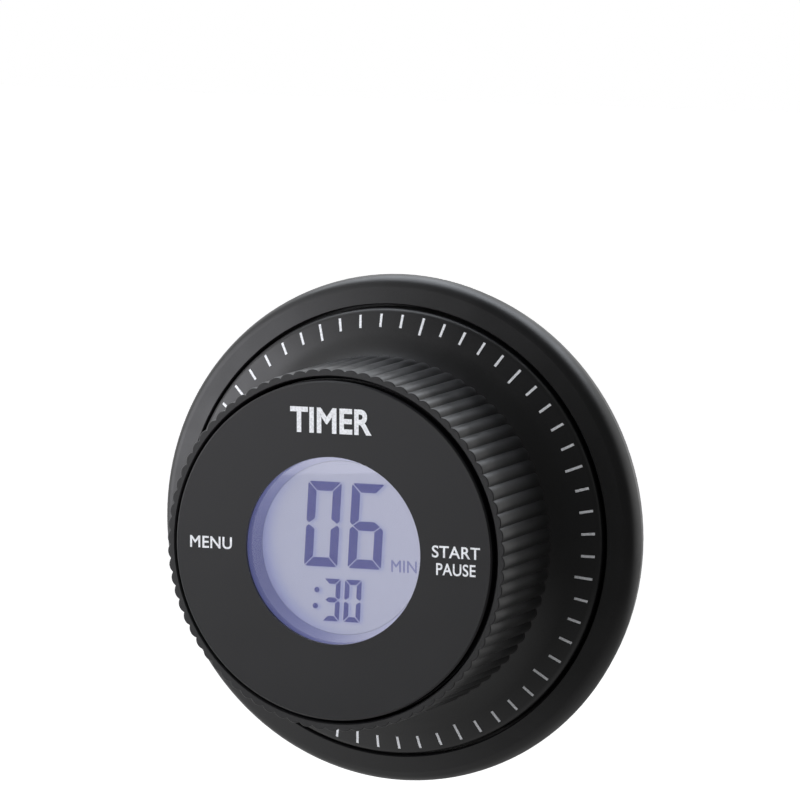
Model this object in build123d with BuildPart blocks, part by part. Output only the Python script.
"""Digital kitchen timer: a round magnetic base, a fluted knob that turns, and a still face that rocks.

The timer stands upright, as it hangs on a fridge door: +X is right, +Z is up, and the front looks
along -Y.  The origin is on the turning axis, in the flat back.  A "height" is a distance in front of
the back, so a height h is at y = -h.
"""

import os
from math import radians, tan

from build123d import *

# ---------------------------------------------------------------- driving dimensions, millimetres

FACE_H = 34.0  # front of the face panel: the whole depth of the timer
KNOB_H = 33.2  # front rim of the knob
RIM_H = 8.1  # front of the base ring, at its inner edge
RIM_SLOPE = 13.0  # degrees by which the ring falls away outward
RIM_R = 42.5  # widest radius of the base ring
RIM_WIDE_H = 4.0  # height of that widest radius
RIM_ROUND = 1.8  # how far in the rounding of the rim reaches
RIM_TURN = (42.25, 6.0)  # where the rounding is already steep
RIM_BACK_R = 41.9  # the rim draws in to this at its back edge
EDGE_BREAK = 0.2  # chamfer on the sharp edges that a hand meets

DIAL_R = 37.3  # edge of the dial skirt
DIAL_GAP = 0.52  # black gap round the dial
GRIP_R = 29.9  # crest of the knob's flutes
FLUTE_DEPTH = 0.45
FLUTES = 80
KNOB_BORE_R = 28.55  # inside of the knob's front rim
FACE_R = 27.96  # edge of the face panel
WINDOW_R = 15.45  # clear window in the face

COVER_T = 1.6  # back cover
COVER_R = 40.8
COVER_SEAT_R = 38.0  # the cover's middle stands clear of the case inside this
CORE_OUT_R = 41.0  # ring-shaped core in the back of the rim
CORE_IN_R = 39.3
CORE_DEPTH = 4.6
FLOOR_H = 3.6  # back of the base case's floor
FLOOR_T = 1.4
TURRET_R = 26.8  # the knob turns on this
TURRET_WALL = 1.4
CEILING_H = 12.4  # over the battery bay
SHAFT_GAP = 0.08  # running clearance of the knob on the turret

HUB_R = 28.1  # still drum inside the knob
HUB_WALL = 1.5
HUB_H = 13.8  # back of the hub's floor
HUB_FLOOR_T = 1.4
HUB_FRONT_H = 31.2

PCB_H = 23.4
PCB_T = 1.6
PCB_R = 26.0
LCD_H = 27.5  # back of the display glass
LCD_T = 2.0
PANEL_T = 1.8
PIVOT_H = 29.6  # the face panel rocks about this height
AXLE_R = 1.2
AXLE_GAP = 0.05

CELL_R = 5.25  # AAA cell
CELL_LENGTH = 43.7
CELL_NUB = 0.8
CELL_Z = 5.45  # the two cells lie side by side, this far above and below the axis
CELL_H = 7.05
CELL_SHIFT = 1.0  # each cell is nearer the end that its nub touches
BAY_X = 48.2
BAY_Z = 22.8
BAY_WALL = 1.2
BAY_WALL_H = 3.0  # the bay's walls stop here, in front of the door's hooks
DOOR_X = 49.0
DOOR_Z = 24.0
DOOR_CORNER = 4.0
DOOR_GAP = 0.15
DOOR_SUNK = 0.1  # the door lies a hair inside the back plane

MAGNET_R = 6.0
MAGNET_T = 2.5
MAGNET_CIRCLE_R = 31.0
COVER_SCREW_R = 36.0  # circle of the cover screws
HUB_SCREW_X = 13.0
HUB_SCREW_Z = 17.0
PCB_SCREW_R = 22.5
PCB_SCREW_START = 30  # degrees
SHANK_R = 1.0
SHANK_GAP = 0.15
BOSS_R = 2.6  # bosses that take the cover screws

SWITCH_X = 21.8  # tact switches under the left and right sides of the face
SLIDER_Z = -18.0  # sound-level switch
RIBBON_Z = 22.0
RIBBON_OUT_Z = 32.2  # where the ribbon leaves the encoder board
RIBBON_SLOT = (5.0, 1.6)
PORT_Z = 17.0  # sound port
PORT_R = 1.6
SWITCH_SLOT = (7.4, 2.0)
CONTACT_X = 24.0
LEAD_X = CONTACT_X - 0.6
LEAD_HOLE_R = 0.9
CONTACT_T = 0.3
TRACK_R = 33.0  # middle of the encoder tracks

BOARD_FRONT_H = PCB_H + PCB_T
FLOOR_FRONT_H = FLOOR_H + FLOOR_T
CEILING_T = HUB_H - CEILING_H
HUB_FLOOR_FRONT_H = HUB_H + HUB_FLOOR_T
TURRET_IN_R = TURRET_R - TURRET_WALL
GROOVE_R = DIAL_R + DIAL_GAP
FACE_BACK_H = FACE_H - PANEL_T
LCD_FRONT_H = LCD_H + LCD_T

os.makedirs("parts", exist_ok=True)

# Radius across and height up, for everything turned about the axis.
SECTION = Plane(origin=(0, 0, 0), x_dir=(1, 0, 0), z_dir=(0, 0, -1))
# Looks out of the back, for holes that are drilled from behind.
BACK = Plane(origin=(0, 0, 0), x_dir=(1, 0, 0), z_dir=(0, 1, 0))


def level(height):
    """The plane that lies a height in front of the back and faces the user."""
    return Plane.XZ.offset(height)


def corners(x, z):
    """The four points (+-x, +-z)."""
    return [(x, z), (x, -z), (-x, z), (-x, -z)]


def screw(head_r, head_t, length, countersunk):
    """A cross-head screw whose head starts at the origin and whose shank runs along -Z."""
    recess_width = 0.5
    recess_depth = 0.55 * head_t
    under_r = SHANK_R if countersunk else head_r
    with BuildPart() as body:
        with BuildSketch(Plane.XZ):
            with BuildLine():
                Polyline((0, 0), (head_r, 0), (under_r, -head_t), (0, -head_t), close=True)
            make_face()
        revolve(axis=Axis.Z)
        with BuildSketch(Plane.XY):
            Circle(SHANK_R)
        extrude(amount=-length)
        with BuildSketch(Plane.XY.offset(-recess_depth)):
            Rectangle(1.3 * head_r, recess_width)
            Rectangle(recess_width, 1.3 * head_r)
        extrude(amount=recess_depth, mode=Mode.SUBTRACT)
    return body.part


# ---------------------------------------------------------------- base case
# One moulding: the outer ring, the floor under the dial, and the turret that the knob turns on.
# The turret's lid is the roof of the battery bay.

RING_FALL = tan(radians(RIM_SLOPE))
SHOULDER_R = RIM_R - RIM_ROUND
SHOULDER = (SHOULDER_R, RIM_H - (SHOULDER_R - GROOVE_R - EDGE_BREAK) * RING_FALL)
SHOULDER_TANGENT = (1, -RING_FALL)

with BuildPart() as base_case:
    with BuildSketch(SECTION):
        with BuildLine():
            Polyline(
                (RIM_BACK_R, COVER_T), (COVER_SEAT_R, COVER_T), (COVER_SEAT_R, FLOOR_H),
                (TURRET_IN_R, FLOOR_H),
                (TURRET_IN_R, CEILING_H), (0, CEILING_H), (0, HUB_H), (TURRET_R, HUB_H),
                (TURRET_R, FLOOR_FRONT_H), (GROOVE_R, FLOOR_FRONT_H), (GROOVE_R, RIM_H - EDGE_BREAK),
                (GROOVE_R + EDGE_BREAK, RIM_H), SHOULDER,
            )
            Spline(SHOULDER, RIM_TURN, (RIM_R, RIM_WIDE_H), tangents=(SHOULDER_TANGENT, (0, -1)))
            Line((RIM_R, RIM_WIDE_H), (RIM_BACK_R, COVER_T))
        make_face()
    revolve(axis=Axis.Y)
    # The ring is cored out from behind, to keep its walls thin.
    with BuildSketch(level(COVER_T)):
        Circle(CORE_OUT_R)
        Circle(CORE_IN_R, mode=Mode.SUBTRACT)
    extrude(amount=CORE_DEPTH, mode=Mode.SUBTRACT)
    # Walls of the battery bay, with solid ends behind the contacts.
    with BuildSketch(level(BAY_WALL_H)):
        Circle(TURRET_IN_R + 0.2)
        Rectangle(2 * TURRET_R, BAY_Z + 2 * BAY_WALL, mode=Mode.INTERSECT)
        Rectangle(BAY_X, BAY_Z, mode=Mode.SUBTRACT)
    extrude(amount=CEILING_H - BAY_WALL_H + 0.2)
    # Bosses for the cover screws.
    with BuildSketch(level(COVER_T)):
        with PolarLocations(COVER_SCREW_R, 4):
            Circle(BOSS_R)
    extrude(amount=FLOOR_H - COVER_T + 0.2)
    with BuildSketch(level(COVER_T)):
        with PolarLocations(COVER_SCREW_R, 4):
            Circle(SHANK_R)
    extrude(amount=3.0, mode=Mode.SUBTRACT)
    # Through the roof: hub screws, battery leads, encoder ribbon, sound port and switch leads.
    with BuildSketch(level(CEILING_H)):
        with Locations(*corners(HUB_SCREW_X, HUB_SCREW_Z)):
            Circle(SHANK_R + SHANK_GAP)
        with Locations((-LEAD_X, CELL_Z), (-LEAD_X, -CELL_Z)):
            Circle(LEAD_HOLE_R)
        with Locations((0, RIBBON_Z)):
            Rectangle(*RIBBON_SLOT)
        with Locations((0, PORT_Z)):
            Circle(PORT_R)
        with Locations((0, SLIDER_Z)):
            Rectangle(*SWITCH_SLOT)
    extrude(amount=CEILING_T, mode=Mode.SUBTRACT)
    # The ribbon drops through the floor under the dial.
    with BuildSketch(level(FLOOR_H)):
        with Locations((0, RIBBON_OUT_Z)):
            Rectangle(*RIBBON_SLOT)
    extrude(amount=FLOOR_T, mode=Mode.SUBTRACT)
base_case.part.label = "base_case"
export_step(base_case.part, "parts/base_case.step")

# ---------------------------------------------------------------- back cover

POCKET_WALL = 0.8
with BuildPart() as back_cover:
    with BuildSketch(SECTION):
        with BuildLine():
            Polyline(
                (0, 0), (COVER_R - 0.5, 0), (COVER_R, 0.5), (COVER_R, COVER_T), (0, COVER_T), close=True,
            )
        make_face()
    revolve(axis=Axis.Y)
    with BuildSketch(level(COVER_T)):
        with PolarLocations(MAGNET_CIRCLE_R, 4, start_angle=45):
            Circle(MAGNET_R + POCKET_WALL)
    extrude(amount=FLOOR_H - COVER_T - 0.2)
    with BuildSketch(level(0)):
        with PolarLocations(MAGNET_CIRCLE_R, 4, start_angle=45):
            Circle(MAGNET_R + 0.05)
    extrude(amount=MAGNET_T + 0.2, mode=Mode.SUBTRACT)
    with BuildSketch(level(0)):
        RectangleRounded(DOOR_X, DOOR_Z, DOOR_CORNER)
    extrude(amount=COVER_T, mode=Mode.SUBTRACT)
    # Finger dish beside the free end of the door, so that a nail can lift it.
    with BuildSketch(level(0)):
        with Locations((DOOR_X / 2 + 1.6, 0)):
            SlotOverall(9.0, 4.4, rotation=90)
    extrude(amount=0.9, mode=Mode.SUBTRACT)
    # Recess and slot of the sound-level switch, and three sound slots over it.
    with BuildSketch(level(0)):
        with Locations((0, SLIDER_Z)):
            SlotOverall(12.0, 5.0)
    extrude(amount=0.8, mode=Mode.SUBTRACT)
    with BuildSketch(level(0)):
        with Locations((0, SLIDER_Z)):
            Rectangle(7.2, 3.2)
    extrude(amount=COVER_T, mode=Mode.SUBTRACT)
    with BuildSketch(level(0)):
        with GridLocations(0, 2.2, 1, 3):
            with Locations((0, PORT_Z)):
                SlotOverall(10.0, 1.0)
    extrude(amount=COVER_T, mode=Mode.SUBTRACT)
    with Locations(BACK):
        with PolarLocations(COVER_SCREW_R, 4):
            CounterSinkHole(SHANK_R + SHANK_GAP, 2.05, COVER_T, counter_sink_angle=90)
back_cover.part.label = "back_cover"
export_step(back_cover.part, "parts/back_cover.step")

# ---------------------------------------------------------------- cover screws

cover_screw = screw(head_r=1.85, head_t=0.85, length=4.4, countersunk=True)
with BuildPart() as cover_screws:
    with Locations(BACK.offset(-0.15)):
        with PolarLocations(COVER_SCREW_R, 4):
            add(cover_screw)
cover_screws.part.label = "cover_screws"
export_step(cover_screws.part, "parts/cover_screws.step")

# ---------------------------------------------------------------- magnets

with BuildPart() as magnets:
    with BuildSketch(level(0.2)):
        with PolarLocations(MAGNET_CIRCLE_R, 4, start_angle=45):
            Circle(MAGNET_R)
    extrude(amount=MAGNET_T)
    chamfer(magnets.edges().filter_by(GeomType.CIRCLE), 0.2)
magnets.part.label = "magnets"
export_step(magnets.part, "parts/magnets.step")

# ---------------------------------------------------------------- battery door
# It turns on its left edge. Two hooks reach in front of the cover there.

HOOK_REACH = 1.1
HOOK_LENGTH = 2.0
HOOK_WIDTH = 3.0
HOOK_Z = 7.0
HOOK_POST_X = -DOOR_X / 2 + 0.5
with BuildPart() as battery_door:
    with BuildSketch(level(DOOR_SUNK)):
        RectangleRounded(DOOR_X - 2 * DOOR_GAP, DOOR_Z - 2 * DOOR_GAP, DOOR_CORNER - DOOR_GAP)
    extrude(amount=COVER_T - DOOR_SUNK)
    # Three finger ribs sunk beside the free end.
    with BuildSketch(level(DOOR_SUNK)):
        with Locations((DOOR_X / 2 - 6.5, 0)):
            with GridLocations(2.0, 0, 3, 1):
                SlotOverall(9.0, 0.9, rotation=90)
    extrude(amount=0.5, mode=Mode.SUBTRACT)
    # Hooks: a post on the door's front, with a toe that passes the edge of the opening.
    with BuildSketch(level(COVER_T)):
        with Locations((HOOK_POST_X, HOOK_Z), (HOOK_POST_X, -HOOK_Z)):
            Rectangle(0.8, HOOK_WIDTH)
    extrude(amount=0.4)
    hook_x = -DOOR_X / 2 - HOOK_REACH + HOOK_LENGTH / 2
    with BuildSketch(level(COVER_T + 0.1)):
        with Locations((hook_x, HOOK_Z), (hook_x, -HOOK_Z)):
            Rectangle(HOOK_LENGTH, HOOK_WIDTH)
    extrude(amount=0.6)
    # Tongue of the snap at the free end.
    with BuildSketch(level(COVER_T)):
        with Locations((DOOR_X / 2 - 0.9, 0)):
            Rectangle(0.8, 6.0)
    extrude(amount=1.2)
battery_door.part.label = "battery_door"
export_step(battery_door.part, "parts/battery_door.step")

# ---------------------------------------------------------------- battery cells
# Two AAA cells, head to tail.

with BuildPart() as battery_cells:
    for side in (1, -1):
        seat = Plane(origin=(side * CELL_SHIFT, -CELL_H, side * CELL_Z), x_dir=(0, 1, 0), z_dir=(side, 0, 0))
        with BuildSketch(seat.offset(-CELL_LENGTH / 2)):
            Circle(CELL_R)
        extrude(amount=CELL_LENGTH)
        with BuildSketch(seat.offset(CELL_LENGTH / 2)):
            Circle(1.9)
        extrude(amount=CELL_NUB)
    rims = battery_cells.edges().filter_by(GeomType.CIRCLE).filter_by(lambda e: e.radius > CELL_R - 0.1)
    fillet(rims, 0.4)
battery_cells.part.label = "battery_cells"
export_step(battery_cells.part, "parts/battery_cells.step")

# ---------------------------------------------------------------- battery contacts
# Springs press on the flat ends of the cells and plates meet the nubs. The right end joins the two.

SPRING_WIRE_R = 0.25
SPRING_R = 2.4
SPRING_TURNS = 3
FLAT_END_X = CELL_LENGTH / 2 - CELL_SHIFT
PLATE_X = CONTACT_X - CONTACT_T
SPRING_LENGTH = PLATE_X - FLAT_END_X - 2 * SPRING_WIRE_R - 0.05


def contact_spring_coil(side):
    """A coil that stands on the contact plate at one end of the bay and points at the flat of a cell."""
    root = (side * (PLATE_X - SPRING_WIRE_R + 0.1), -CELL_H, -side * CELL_Z)
    pitch = SPRING_LENGTH / SPRING_TURNS
    with BuildPart() as coil:
        with BuildLine() as path:
            Helix(pitch, SPRING_LENGTH, SPRING_R, center=root, direction=(-side, 0, 0))
        wire = path.line
        with BuildSketch(Plane(origin=wire @ 0, z_dir=wire % 0)):
            Circle(SPRING_WIRE_R)
        sweep(path=wire, is_frenet=True)
    return coil.part


left_coil = contact_spring_coil(-1)
with BuildPart() as contact_spring:
    with BuildSketch(Plane.YZ.offset(-CONTACT_X)):
        with Locations((-CELL_H, CELL_Z)):
            Rectangle(8.0, 5.6)
    extrude(amount=CONTACT_T)
    add(left_coil)
contact_spring.part.label = "contact_spring"
export_step(contact_spring.part, "parts/contact_spring.step")

with BuildPart() as contact_plate:
    with BuildSketch(Plane.YZ.offset(-CONTACT_X)):
        with Locations((-CELL_H, -CELL_Z)):
            Rectangle(8.0, 5.6)
    extrude(amount=CONTACT_T)
contact_plate.part.label = "contact_plate"
export_step(contact_plate.part, "parts/contact_plate.step")

right_coil = contact_spring_coil(1)
with BuildPart() as contact_bridge:
    with BuildSketch(Plane.YZ.offset(PLATE_X)):
        with Locations((-CELL_H, 0)):
            Rectangle(8.0, 2 * CELL_Z + 5.6)
    extrude(amount=CONTACT_T)
    add(right_coil)
contact_bridge.part.label = "contact_bridge"
export_step(contact_bridge.part, "parts/contact_bridge.step")

# ---------------------------------------------------------------- battery leads

with BuildPart() as battery_leads:
    with BuildSketch(level(CEILING_H - 1.2)):
        with Locations((-LEAD_X, CELL_Z), (-LEAD_X, -CELL_Z)):
            Circle(0.25)
    extrude(amount=1.2)
    with BuildSketch(level(CEILING_H)):
        with Locations((-LEAD_X, CELL_Z), (-LEAD_X, -CELL_Z)):
            Circle(0.6)
    extrude(amount=PCB_H - CEILING_H)
battery_leads.part.label = "battery_leads"
export_step(battery_leads.part, "parts/battery_leads.step")

# ---------------------------------------------------------------- glide ring
# A slippery washer on the floor, under the foot of the knob.

GLIDE_T = 1.2
GLIDE_R = 29.6
with BuildPart() as glide_ring:
    with BuildSketch(level(FLOOR_FRONT_H)):
        Circle(GLIDE_R)
        Circle(TURRET_R + 0.2, mode=Mode.SUBTRACT)
    extrude(amount=GLIDE_T)
glide_ring.part.label = "glide_ring"
export_step(glide_ring.part, "parts/glide_ring.step")

# ---------------------------------------------------------------- rotary knob
# The fluted grip and the dial skirt are one moulding, with a bush inside that turns on the turret.

FOOT_H = FLOOR_FRONT_H + GLIDE_T + 0.05
BUSH_TOP_H = HUB_H - 0.3
UNDERSIDE_H = 8.4
FLARE_H = 12.75  # where the flare of the dial meets the flutes
FLARE_IN_R = 28.0  # the flare's section is buried in the grip to this radius
LIP_BACK_H = 5.6  # back of the skirt's lip, deep in the groove
VALLEY_R = GRIP_R - FLUTE_DEPTH
HALF_FLUTE = 180 / FLUTES

with BuildPart() as rotary_knob:
    with BuildSketch(level(UNDERSIDE_H)):
        with BuildLine():
            for number in range(FLUTES):
                middle = number * 360 / FLUTES
                ends = [middle - HALF_FLUTE, middle + HALF_FLUTE]
                start, stop = [PolarLocations(VALLEY_R, 1, a).locations[0].position for a in ends]
                crest = PolarLocations(GRIP_R, 1, middle).locations[0].position
                ThreePointArc(start, crest, stop)
        make_face()
    extrude(amount=KNOB_H - UNDERSIDE_H)
    with BuildSketch(SECTION):
        with BuildLine():
            Polyline(
                (FLARE_IN_R, FLARE_H + 0.6), (FLARE_IN_R, FOOT_H), (30.4, FOOT_H), (30.9, UNDERSIDE_H),
                (36.0, UNDERSIDE_H), (36.3, LIP_BACK_H), (DIAL_R, LIP_BACK_H), (DIAL_R, RIM_H),
            )
            edge = ThreePointArc((DIAL_R, RIM_H), (37.1, 8.95), (36.5, 9.42))
            slope = Line(edge @ 1, (33.7, 10.5))
            flare = ThreePointArc(slope @ 1, (31.7, 11.42), (29.95, FLARE_H))
            Polyline(flare @ 1, (29.3, FLARE_H + 0.6), (FLARE_IN_R, FLARE_H + 0.6))
        make_face()
    revolve(axis=Axis.Y)
    # The bush's bore and the wider room for the hub.
    with BuildSketch(SECTION):
        with BuildLine():
            Polyline(
                (0, FOOT_H), (TURRET_R + SHAFT_GAP, FOOT_H), (TURRET_R + SHAFT_GAP, BUSH_TOP_H),
                (KNOB_BORE_R, BUSH_TOP_H), (KNOB_BORE_R, KNOB_H - EDGE_BREAK),
                (KNOB_BORE_R + EDGE_BREAK, KNOB_H), (0, KNOB_H), close=True,
            )
        make_face()
    revolve(axis=Axis.Y, mode=Mode.SUBTRACT)
rotary_knob.part.label = "rotary_knob"
export_step(rotary_knob.part, "parts/rotary_knob.step")

# ---------------------------------------------------------------- encoder board and wiper
# A ring of printed tracks on the floor, read by three spring fingers under the dial.

BOARD_T = 1.0
with BuildPart() as encoder_board:
    with BuildSketch(level(FLOOR_FRONT_H)):
        Circle(TRACK_R + 2.4)
        Circle(TRACK_R - 2.0, mode=Mode.SUBTRACT)
    extrude(amount=BOARD_T)
encoder_board.part.label = "encoder_board"
export_step(encoder_board.part, "parts/encoder_board.step")

WIPER_T = 0.25
FINGER_TIP_H = FLOOR_FRONT_H + BOARD_T + 0.06
with BuildPart() as encoder_wiper:
    with BuildSketch(level(UNDERSIDE_H - WIPER_T)):
        with Locations((-2.0, -TRACK_R)):
            Rectangle(8.0, 3.2)
    extrude(amount=WIPER_T)
    for finger in (-1, 0, 1):
        with BuildSketch(Plane.XY.offset(finger * 1.1 - TRACK_R - 0.3)):
            with BuildLine():
                top = -(UNDERSIDE_H - WIPER_T)
                tip = -FINGER_TIP_H
                Polyline(
                    (1.9, top), (6.0, tip), (7.0, tip), (7.0, tip - WIPER_T), (6.1, tip - WIPER_T),
                    (2.0, top - WIPER_T), (1.9, top - WIPER_T), close=True,
                )
            make_face()
        extrude(amount=0.6)
encoder_wiper.part.label = "encoder_wiper"
export_step(encoder_wiper.part, "parts/encoder_wiper.step")

# The ribbon leaves the board through the floor, runs inward behind it, and rises to the main board.
RIBBON_T = 0.6
RIBBON_RUN_H = 2.7
with BuildPart() as encoder_ribbon:
    with BuildSketch(Plane.YZ.offset(-2.0)):
        with BuildLine():
            FilletPolyline(
                (RIBBON_T / 2 - FLOOR_FRONT_H, RIBBON_OUT_Z), (-RIBBON_RUN_H, RIBBON_OUT_Z),
                (-RIBBON_RUN_H, RIBBON_Z), (RIBBON_T / 2 - PCB_H, RIBBON_Z), radius=0.6,
            )
            offset(amount=RIBBON_T / 2)
        make_face()
    extrude(amount=4.0)
encoder_ribbon.part.label = "encoder_ribbon"
export_step(encoder_ribbon.part, "parts/encoder_ribbon.step")

# ---------------------------------------------------------------- hub housing
# The still drum inside the knob. Its floor is screwed to the turret and keeps the knob on.

POST_R = 2.4
HUB_POST_H = 20.0
PIEZO_R = 13.5
PIEZO_SEAT_T = 1.0
with BuildPart() as hub_housing:
    with BuildSketch(level(HUB_H)):
        Circle(HUB_R)
    extrude(amount=HUB_FRONT_H - HUB_H)
    with BuildSketch(level(HUB_FLOOR_FRONT_H)):
        Circle(HUB_R - HUB_WALL)
    extrude(amount=HUB_FRONT_H - HUB_FLOOR_FRONT_H, mode=Mode.SUBTRACT)
    # Posts for the hub screws, and taller ones that carry the main board.
    with BuildSketch(level(HUB_FLOOR_FRONT_H)):
        with Locations(*corners(HUB_SCREW_X, HUB_SCREW_Z)):
            Circle(POST_R)
    extrude(amount=HUB_POST_H - HUB_FLOOR_FRONT_H)
    with BuildSketch(level(HUB_FLOOR_FRONT_H)):
        with PolarLocations(PCB_SCREW_R, 3, start_angle=PCB_SCREW_START):
            Circle(POST_R)
    extrude(amount=PCB_H - HUB_FLOOR_FRONT_H)
    with BuildSketch(level(HUB_H)):
        with Locations(*corners(HUB_SCREW_X, HUB_SCREW_Z)):
            Circle(SHANK_R)
    extrude(amount=4.8, mode=Mode.SUBTRACT)
    with BuildSketch(level(PCB_H)):
        with PolarLocations(PCB_SCREW_R, 3, start_angle=PCB_SCREW_START):
            Circle(SHANK_R)
    extrude(amount=-5.0, mode=Mode.SUBTRACT)
    # Seat of the piezo disc.
    with BuildSketch(level(HUB_FLOOR_FRONT_H)):
        Circle(PIEZO_R + 0.1)
        Circle(PIEZO_R - 1.3, mode=Mode.SUBTRACT)
    extrude(amount=PIEZO_SEAT_T)
    # Holes in the floor, in line with those of the turret's roof.
    with BuildSketch(level(HUB_H)):
        with Locations((-LEAD_X, CELL_Z), (-LEAD_X, -CELL_Z)):
            Circle(LEAD_HOLE_R)
        with Locations((0, RIBBON_Z)):
            Rectangle(*RIBBON_SLOT)
        with Locations((0, PORT_Z)):
            Circle(PORT_R)
        with Locations((0, SLIDER_Z)):
            Rectangle(*SWITCH_SLOT)
    extrude(amount=HUB_FLOOR_T, mode=Mode.SUBTRACT)
    # Bores at the top and bottom for the face panel's axles.
    with BuildSketch(Plane.XY):
        with Locations((0, -PIVOT_H)):
            Circle(AXLE_R + AXLE_GAP)
    extrude(amount=HUB_R + 1, both=True, mode=Mode.SUBTRACT)
hub_housing.part.label = "hub_housing"
export_step(hub_housing.part, "parts/hub_housing.step")

HUB_HEAD_T = 1.3
hub_screw = screw(head_r=1.9, head_t=HUB_HEAD_T, length=7.0, countersunk=False)
with BuildPart() as hub_screws:
    with Locations(BACK.offset(HUB_HEAD_T - CEILING_H)):
        with Locations(*corners(HUB_SCREW_X, HUB_SCREW_Z)):
            add(hub_screw)
hub_screws.part.label = "hub_screws"
export_step(hub_screws.part, "parts/hub_screws.step")

# ---------------------------------------------------------------- piezo sounder

PIEZO_SEAT_H = HUB_FLOOR_FRONT_H + PIEZO_SEAT_T
PIEZO_T = 0.25
with BuildPart() as piezo_disc:
    with BuildSketch(level(PIEZO_SEAT_H)):
        Circle(PIEZO_R)
    extrude(amount=PIEZO_T)
piezo_disc.part.label = "piezo_disc"
export_step(piezo_disc.part, "parts/piezo_disc.step")

with BuildPart() as piezo_ceramic:
    with BuildSketch(level(PIEZO_SEAT_H + PIEZO_T)):
        Circle(9.5)
    extrude(amount=PIEZO_T)
piezo_ceramic.part.label = "piezo_ceramic"
export_step(piezo_ceramic.part, "parts/piezo_ceramic.step")

with BuildPart() as buzzer_leads:
    with BuildSketch(level(PIEZO_SEAT_H + PIEZO_T)):
        with Locations((11.5, 0)):
            Circle(0.5)
    extrude(amount=PCB_H - PIEZO_SEAT_H - PIEZO_T)
    with BuildSketch(level(PIEZO_SEAT_H + 2 * PIEZO_T)):
        with Locations((7.5, 0)):
            Circle(0.5)
    extrude(amount=PCB_H - PIEZO_SEAT_H - 2 * PIEZO_T)
buzzer_leads.part.label = "buzzer_leads"
export_step(buzzer_leads.part, "parts/buzzer_leads.step")

# ---------------------------------------------------------------- main board and what is on it

PEG_X = 15.2
PEG_Z = 17.5
PEG_R = 0.5
with BuildPart() as main_pcb:
    with BuildSketch(level(PCB_H)):
        Circle(PCB_R)
        with PolarLocations(PCB_SCREW_R, 3, start_angle=PCB_SCREW_START):
            Circle(SHANK_R + SHANK_GAP, mode=Mode.SUBTRACT)
        with Locations(*corners(PEG_X, PEG_Z)):
            Circle(PEG_R + 0.05, mode=Mode.SUBTRACT)
    extrude(amount=PCB_T)
main_pcb.part.label = "main_pcb"
export_step(main_pcb.part, "parts/main_pcb.step")

PCB_HEAD_T = 1.2
pcb_screw = screw(head_r=1.75, head_t=PCB_HEAD_T, length=6.4, countersunk=False)
with BuildPart() as pcb_screws:
    with Locations(level(BOARD_FRONT_H + PCB_HEAD_T)):
        with PolarLocations(PCB_SCREW_R, 3, start_angle=PCB_SCREW_START):
            add(pcb_screw)
pcb_screws.part.label = "pcb_screws"
export_step(pcb_screws.part, "parts/pcb_screws.step")

# Controller die under a drop of epoxy.
with BuildPart() as chip_blob:
    with BuildSketch(level(PCB_H)):
        with Locations((-3, -4)):
            Circle(4.5)
    extrude(amount=-1.6)
    fillet(chip_blob.faces().sort_by(Axis.Y).last.edges(), 1.3)
chip_blob.part.label = "chip_blob"
export_step(chip_blob.part, "parts/chip_blob.step")

CRYSTAL_Y = 1.05 - PCB_H
with BuildPart() as quartz_crystal:
    with BuildSketch(Plane.YZ.offset(2)):
        with Locations((CRYSTAL_Y, 8)):
            Circle(1.0)
    extrude(amount=6.0)
    with BuildSketch(Plane.YZ.offset(0.5)):
        with Locations((CRYSTAL_Y, 8.35), (CRYSTAL_Y, 7.65)):
            Circle(0.2)
    extrude(amount=1.6)
quartz_crystal.part.label = "quartz_crystal"
export_step(quartz_crystal.part, "parts/quartz_crystal.step")

with BuildPart() as smd_capacitors:
    with BuildSketch(level(PCB_H)):
        with Locations((-12, 6)):
            with GridLocations(0, 2.6, 1, 4):
                Rectangle(2.0, 1.25)
    extrude(amount=-0.9)
smd_capacitors.part.label = "smd_capacitors"
export_step(smd_capacitors.part, "parts/smd_capacitors.step")

with BuildPart() as smd_resistors:
    with BuildSketch(level(PCB_H)):
        with Locations((-3, -13)):
            with GridLocations(2.6, 2.4, 3, 2):
                Rectangle(1.6, 0.8)
    extrude(amount=-0.45)
smd_resistors.part.label = "smd_resistors"
export_step(smd_resistors.part, "parts/smd_resistors.step")

# ---------------------------------------------------------------- tact switches
# One under each side of the face. The plungers stand at the height where the face has pressed them.

SWITCH_BODY_T = 2.4
PLUNGER_TOP_H = 28.05
with BuildPart() as tact_switch_bodies:
    with BuildSketch(level(BOARD_FRONT_H)):
        with Locations((SWITCH_X, 0), (-SWITCH_X, 0)):
            Rectangle(6.0, 6.0)
    extrude(amount=SWITCH_BODY_T)
    chamfer(tact_switch_bodies.edges().filter_by(Axis.Y), 0.5)
tact_switch_bodies.part.label = "tact_switch_bodies"
export_step(tact_switch_bodies.part, "parts/tact_switch_bodies.step")

with BuildPart() as tact_switch_plungers:
    with BuildSketch(level(BOARD_FRONT_H + SWITCH_BODY_T)):
        with Locations((SWITCH_X, 0), (-SWITCH_X, 0)):
            Circle(1.5)
    extrude(amount=PLUNGER_TOP_H - BOARD_FRONT_H - SWITCH_BODY_T)
tact_switch_plungers.part.label = "tact_switch_plungers"
export_step(tact_switch_plungers.part, "parts/tact_switch_plungers.step")

# ---------------------------------------------------------------- display
# From back to front: reflector, light guide with a lamp at each side, glass, and the frame whose
# sloping tunnel shows round the glass.

LCD_X = 33.0
LCD_Z = 34.0
FRAME_WALL = 0.9
TUNNEL_BACK_R = 14.35
TUNNEL_FRONT_R = 15.3
TUNNEL_FRONT_H = 31.9
TUNNEL_OUT_R = 16.3
LEDGE_T = 0.5
GUIDE_X = 29.6
GUIDE_Z = 27.0
FILM_T = 0.2
LAMP_X = 15.7
ZEBRA_Z = 15.6

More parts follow.
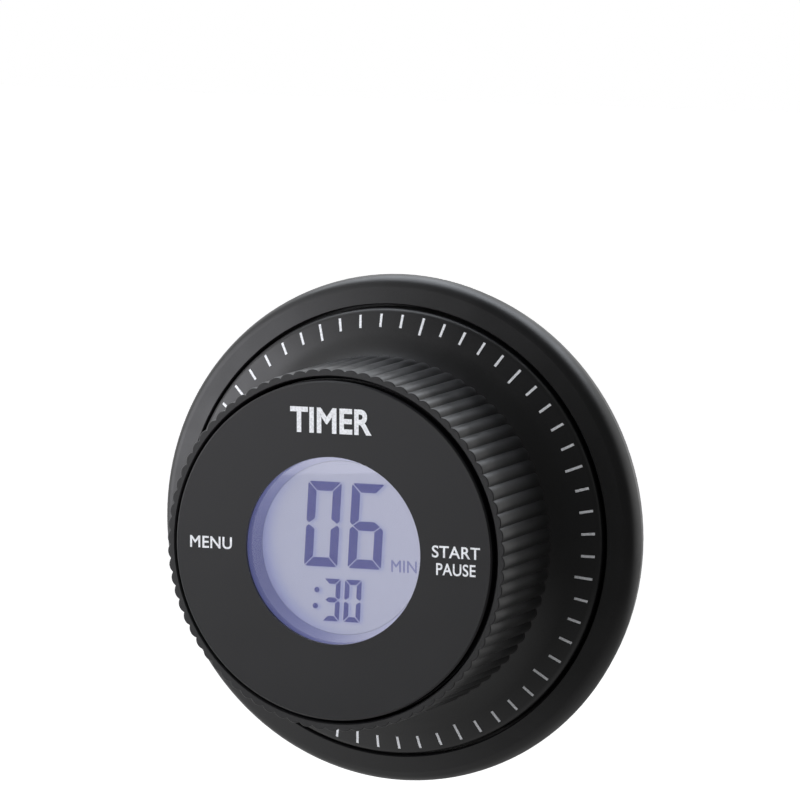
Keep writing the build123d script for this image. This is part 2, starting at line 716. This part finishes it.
with BuildPart() as lcd_glass:
    with BuildSketch(level(LCD_H)):
        Rectangle(LCD_X, LCD_Z)
    extrude(amount=LCD_T)
    chamfer(lcd_glass.edges().filter_by(Axis.Y), 0.4)
lcd_glass.part.label = "lcd_glass"
export_step(lcd_glass.part, "parts/lcd_glass.step")

with BuildPart() as lcd_frame:
    with BuildSketch(level(BOARD_FRONT_H)):
        RectangleRounded(LCD_X + 2 * FRAME_WALL + 0.2, LCD_Z + 2 * FRAME_WALL + 0.2, 1.6)
    extrude(amount=LCD_FRONT_H + LEDGE_T - BOARD_FRONT_H)
    with BuildSketch(SECTION):
        with BuildLine():
            Polyline(
                (0, LCD_FRONT_H), (TUNNEL_OUT_R, LCD_FRONT_H), (TUNNEL_OUT_R, TUNNEL_FRONT_H),
                (0, TUNNEL_FRONT_H), close=True,
            )
        make_face()
    revolve(axis=Axis.Y)
    with BuildSketch(level(BOARD_FRONT_H)):
        Rectangle(LCD_X + 0.2, LCD_Z + 0.2)
    extrude(amount=LCD_FRONT_H - BOARD_FRONT_H, mode=Mode.SUBTRACT)
    with BuildSketch(SECTION):
        with BuildLine():
            Polyline(
                (0, LCD_FRONT_H), (TUNNEL_BACK_R, LCD_FRONT_H), (TUNNEL_FRONT_R, TUNNEL_FRONT_H),
                (0, TUNNEL_FRONT_H), close=True,
            )
        make_face()
    revolve(axis=Axis.Y, mode=Mode.SUBTRACT)
    # Four pegs locate the frame in the board.
    with BuildSketch(level(BOARD_FRONT_H)):
        with Locations(*corners(PEG_X, PEG_Z)):
            Circle(PEG_R)
    extrude(amount=-PCB_T)
lcd_frame.part.label = "lcd_frame"
export_step(lcd_frame.part, "parts/lcd_frame.step")

with BuildPart() as reflector_film:
    with BuildSketch(level(BOARD_FRONT_H)):
        Rectangle(GUIDE_X, GUIDE_Z)
    extrude(amount=FILM_T)
reflector_film.part.label = "reflector_film"
export_step(reflector_film.part, "parts/reflector_film.step")

with BuildPart() as light_guide:
    with BuildSketch(level(BOARD_FRONT_H + FILM_T)):
        Rectangle(GUIDE_X, GUIDE_Z)
    extrude(amount=LCD_H - BOARD_FRONT_H - FILM_T - 0.1)
light_guide.part.label = "light_guide"
export_step(light_guide.part, "parts/light_guide.step")

with BuildPart() as backlight_leds:
    with BuildSketch(level(BOARD_FRONT_H)):
        with Locations((LAMP_X, 0), (-LAMP_X, 0)):
            Rectangle(1.2, 3.4)
    extrude(amount=1.4)
backlight_leds.part.label = "backlight_leds"
export_step(backlight_leds.part, "parts/backlight_leds.step")

with BuildPart() as zebra_connectors:
    with BuildSketch(level(BOARD_FRONT_H)):
        with Locations((0, ZEBRA_Z), (0, -ZEBRA_Z)):
            Rectangle(30.0, 2.2)
    extrude(amount=LCD_H - BOARD_FRONT_H)
zebra_connectors.part.label = "zebra_connectors"
export_step(zebra_connectors.part, "parts/zebra_connectors.step")

# ---------------------------------------------------------------- sound-level switch

SLIDER_BODY_T = 4.4
SLIDER_BACK_H = 0.3
SLIDER_GAP = 0.1
SLIDER_X = 3.2
SLIDER_WIDTH = 2.7
with BuildPart() as slide_switch_body:
    with BuildSketch(level(COVER_T)):
        with Locations((0, SLIDER_Z)):
            Rectangle(9.0, 4.4)
    extrude(amount=SLIDER_BODY_T)
    with BuildSketch(level(COVER_T)):
        with Locations((0, SLIDER_Z)):
            Rectangle(5.2, 1.8)
    extrude(amount=1.8, mode=Mode.SUBTRACT)
slide_switch_body.part.label = "slide_switch_body"
export_step(slide_switch_body.part, "parts/slide_switch_body.step")

with BuildPart() as slide_switch_knob:
    with BuildSketch(level(SLIDER_BACK_H)):
        with Locations((0, SLIDER_Z)):
            Rectangle(SLIDER_X, SLIDER_WIDTH)
    extrude(amount=COVER_T - SLIDER_BACK_H - SLIDER_GAP)
    with BuildSketch(level(SLIDER_BACK_H)):
        with Locations((0, SLIDER_Z)):
            with GridLocations(0.9, 0, 3, 1):
                Rectangle(0.35, SLIDER_WIDTH)
    extrude(amount=0.35, mode=Mode.SUBTRACT)
    with BuildSketch(level(COVER_T - SLIDER_GAP)):
        with Locations((0, SLIDER_Z)):
            Rectangle(1.4, 1.3)
    extrude(amount=1.5)
slide_switch_knob.part.label = "slide_switch_knob"
export_step(slide_switch_knob.part, "parts/slide_switch_knob.step")

with BuildPart() as switch_leads:
    with BuildSketch(level(COVER_T + SLIDER_BODY_T)):
        with Locations((0, SLIDER_Z)):
            with GridLocations(2.5, 0, 3, 1):
                Circle(0.5)
    extrude(amount=PCB_H - COVER_T - SLIDER_BODY_T)
switch_leads.part.label = "switch_leads"
export_step(switch_leads.part, "parts/switch_leads.step")

# ---------------------------------------------------------------- face panel and window
# The panel rocks on two stub axles, at the top and bottom of the hub, and presses a switch at each side.

TAB_OUT_Z = 26.2
TAB_IN_Z = 24.2
TAB_MIDDLE_Z = (TAB_OUT_Z + TAB_IN_Z) / 2
TAB_BACK_H = PIVOT_H - AXLE_R - 0.2
PUSHER_END_H = 28.5
FACE_EDGE = 0.25
LIP_H = 33.4  # the lens seats against this
LENS_SEAT_R = 17.0
LENS_R = 16.9
LENS_T = 1.0
with BuildPart() as face_panel:
    with BuildSketch(SECTION):
        with BuildLine():
            Polyline(
                (WINDOW_R, FACE_H), (FACE_R - FACE_EDGE, FACE_H), (FACE_R, FACE_H - FACE_EDGE),
                (FACE_R, FACE_BACK_H), (LENS_SEAT_R, FACE_BACK_H), (LENS_SEAT_R, LIP_H),
                (WINDOW_R, LIP_H), close=True,
            )
        make_face()
    revolve(axis=Axis.Y)
    with BuildSketch(level(PUSHER_END_H)):
        with Locations((SWITCH_X, 0), (-SWITCH_X, 0)):
            Circle(1.5)
    extrude(amount=FACE_BACK_H - PUSHER_END_H)
    with BuildSketch(level(TAB_BACK_H)):
        with Locations((0, TAB_MIDDLE_Z), (0, -TAB_MIDDLE_Z)):
            Rectangle(6.0, TAB_OUT_Z - TAB_IN_Z)
    extrude(amount=FACE_BACK_H - TAB_BACK_H)
    for side in (1, -1):
        with BuildSketch(Plane(origin=(0, -PIVOT_H, side * TAB_OUT_Z), z_dir=(0, 0, side))):
            Circle(AXLE_R)
        extrude(amount=HUB_R - TAB_OUT_Z - 0.2)
face_panel.part.label = "face_panel"
export_step(face_panel.part, "parts/face_panel.step")

with BuildPart() as window_lens:
    with BuildSketch(level(LIP_H - LENS_T)):
        Circle(LENS_R)
    extrude(amount=LENS_T)
window_lens.part.label = "window_lens"
export_step(window_lens.part, "parts/window_lens.step")
